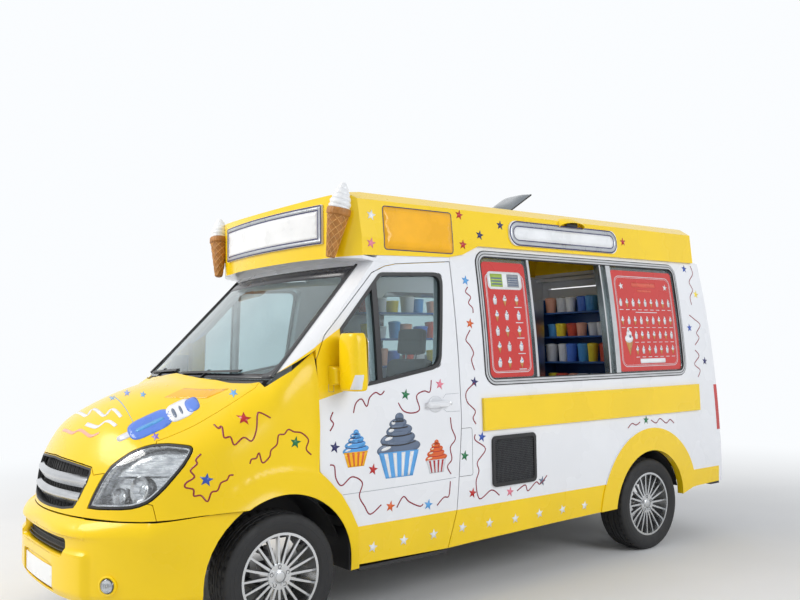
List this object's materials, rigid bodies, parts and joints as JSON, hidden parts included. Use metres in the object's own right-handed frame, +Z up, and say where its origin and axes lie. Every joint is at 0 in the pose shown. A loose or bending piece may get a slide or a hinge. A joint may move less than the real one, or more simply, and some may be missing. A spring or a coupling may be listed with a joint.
{
  "type": "ice cream truck",
  "caption": "Ice cream truck: a front-engined van with a serving hatch, a raised roof cap with sign panels and roof cones, hinged doors, bonnet and vent lid, and steered, turning wheels.",
  "frame": {"origin": "on the ground, in the middle of the whole vehicle's box", "axes": "-Y forward, +X towards the vehicle's left side with the serving hatch, +Z up"},
  "size_m": [2.426, 5.262, 2.8196],
  "materials": {
    "yellow_paint": "glossy yellow paint",
    "white_paint": "glossy white paint",
    "window_glass": "lightly tinted",
    "lamp_lens": "clear moulded lens",
    "red_lens": "red lens",
    "bright_trim": "satin bright trim",
    "white_plate": "plain glossy board",
    "black_plastic": "grained black",
    "grey_plastic": "grained grey",
    "dark_metal": "black chassis paint",
    "cast_metal": "dull cast surface",
    "exhaust_metal": "heat-dulled steel",
    "tyre": "moulded rubber",
    "alloy": "silver lacquer",
    "wafer": "moulded wafer brown with a white scoop",
    "seat_fabric": "dark woven cloth",
    "blue_laminate": "dark blue laminate",
    "steel": "brushed"
  },
  "bodies": {
    "root": {"front_panel": "yellow_paint", "left_wing": "yellow_paint", "right_wing": "yellow_paint", "front_bumper": "yellow_paint", "roof_cap": "yellow_paint", "sign_lamps": "yellow_paint", "headlamps": "lamp_lens", "tail_lamps": "red_lens", "grille": "bright_trim", "number_plate": "white_plate", "cab_frame": "white_paint", "windscreen": "window_glass", "scuttle": "black_plastic", "wipers": "black_plastic", "left_side_panel": "white_paint", "right_side_panel": "white_paint", "side_window_frames": "bright_trim", "side_glass": "window_glass", "side_boards": "white_plate", "side_vent": "black_plastic", "rear_frame": "white_paint", "rear_bumper": "black_plastic", "sign_panels": "white_plate", "roof_cones": "wafer", "floor": "black_plastic", "bulkhead": "dark_metal", "arch_liners": "black_plastic", "chassis_frame": "dark_metal", "rear_axle": "cast_metal", "leaf_springs": "dark_metal", "fuel_tank": "black_plastic", "exhaust": "exhaust_metal", "engine": "cast_metal", "dashboard": "grey_plastic", "seats": "seat_fabric", "counters": "blue_laminate", "soft_serve_machine": "steel"},
    "left_door": {"left_door": "white_paint", "left_door_glass": "window_glass", "left_mirror": "yellow_paint"},
    "right_door": {"right_door": "white_paint", "right_door_glass": "window_glass", "right_mirror": "yellow_paint"},
    "hood": {"hood": "yellow_paint"},
    "left_rear_door": {"left_rear_door": "white_paint"},
    "right_rear_door": {"right_rear_door": "white_paint"},
    "vent_lid": {"vent_lid": "grey_plastic"},
    "steering_wheel": {"steering_wheel": "black_plastic"},
    "left_knuckle": {"left_knuckle": "cast_metal"},
    "right_knuckle": {"right_knuckle": "cast_metal"},
    "front_left_wheel": {"front_left_tyre": "tyre", "front_left_rim": "alloy"},
    "front_right_wheel": {"front_right_tyre": "tyre", "front_right_rim": "alloy"},
    "rear_left_wheel": {"rear_left_tyre": "tyre", "rear_left_rim": "alloy"},
    "rear_right_wheel": {"rear_right_tyre": "tyre", "rear_right_rim": "alloy"}
  },
  "joints": [
    {"name": "left_door_hinge", "type": "hinge", "parent": "root", "child": "left_door", "pos_m": [1.002, -1.351, 1.2], "axis": [0, 0, -1], "range_deg": [0, 70]},
    {"name": "right_door_hinge", "type": "hinge", "parent": "root", "child": "right_door", "pos_m": [-1.002, -1.351, 1.2], "axis": [0, 0, 1], "range_deg": [0, 70]},
    {"name": "hood_hinge", "type": "hinge", "parent": "root", "child": "hood", "pos_m": [0, -1.673, 1.4], "axis": [-1, 0, 0], "range_deg": [0, 60]},
    {"name": "left_rear_door_hinge", "type": "hinge", "parent": "root", "child": "left_rear_door", "pos_m": [0.79, 2.5636, 1.35], "axis": [0, 0.0654, -0.9979], "range_deg": [0, 180]},
    {"name": "right_rear_door_hinge", "type": "hinge", "parent": "root", "child": "right_rear_door", "pos_m": [-0.79, 2.5636, 1.35], "axis": [0, -0.0654, 0.9979], "range_deg": [0, 180]},
    {"name": "vent_lid_hinge", "type": "hinge", "parent": "root", "child": "vent_lid", "pos_m": [0.25, 0.767, 2.65], "axis": [1, 0, 0], "range_deg": [-32, 20]},
    {"name": "steer_left", "type": "hinge", "parent": "root", "child": "left_knuckle", "pos_m": [0.79, -1.608, 0.347], "axis": [0, 0, 1], "range_deg": [-35, 35]},
    {"name": "steer_right", "type": "hinge", "parent": "root", "child": "right_knuckle", "pos_m": [-0.79, -1.608, 0.347], "axis": [0, 0, 1], "range_deg": [-35, 35]},
    {"name": "steering_wheel_turn", "type": "hinge", "parent": "root", "child": "steering_wheel", "pos_m": [-0.43, -0.953, 1.16], "axis": [0, 0.848, 0.5299], "range_deg": [-540, 540]},
    {"name": "front_left_wheel_spin", "type": "hinge", "parent": "left_knuckle", "child": "front_left_wheel", "pos_m": [0.8555, -1.608, 0.347], "axis": [1, 0, 0], "continuous": true},
    {"name": "front_right_wheel_spin", "type": "hinge", "parent": "right_knuckle", "child": "front_right_wheel", "pos_m": [-0.8555, -1.608, 0.347], "axis": [1, 0, 0], "continuous": true},
    {"name": "rear_left_wheel_spin", "type": "hinge", "parent": "root", "child": "rear_left_wheel", "pos_m": [0.8555, 1.642, 0.347], "axis": [1, 0, 0], "continuous": true},
    {"name": "rear_right_wheel_spin", "type": "hinge", "parent": "root", "child": "rear_right_wheel", "pos_m": [-0.8555, 1.642, 0.347], "axis": [1, 0, 0], "continuous": true}
  ],
  "couplings": [
    {"joint": "steer_right", "follows": "steer_left", "ratio": 1},
    {"joint": "steering_wheel_turn", "follows": "steer_left", "ratio": 15}
  ]
}
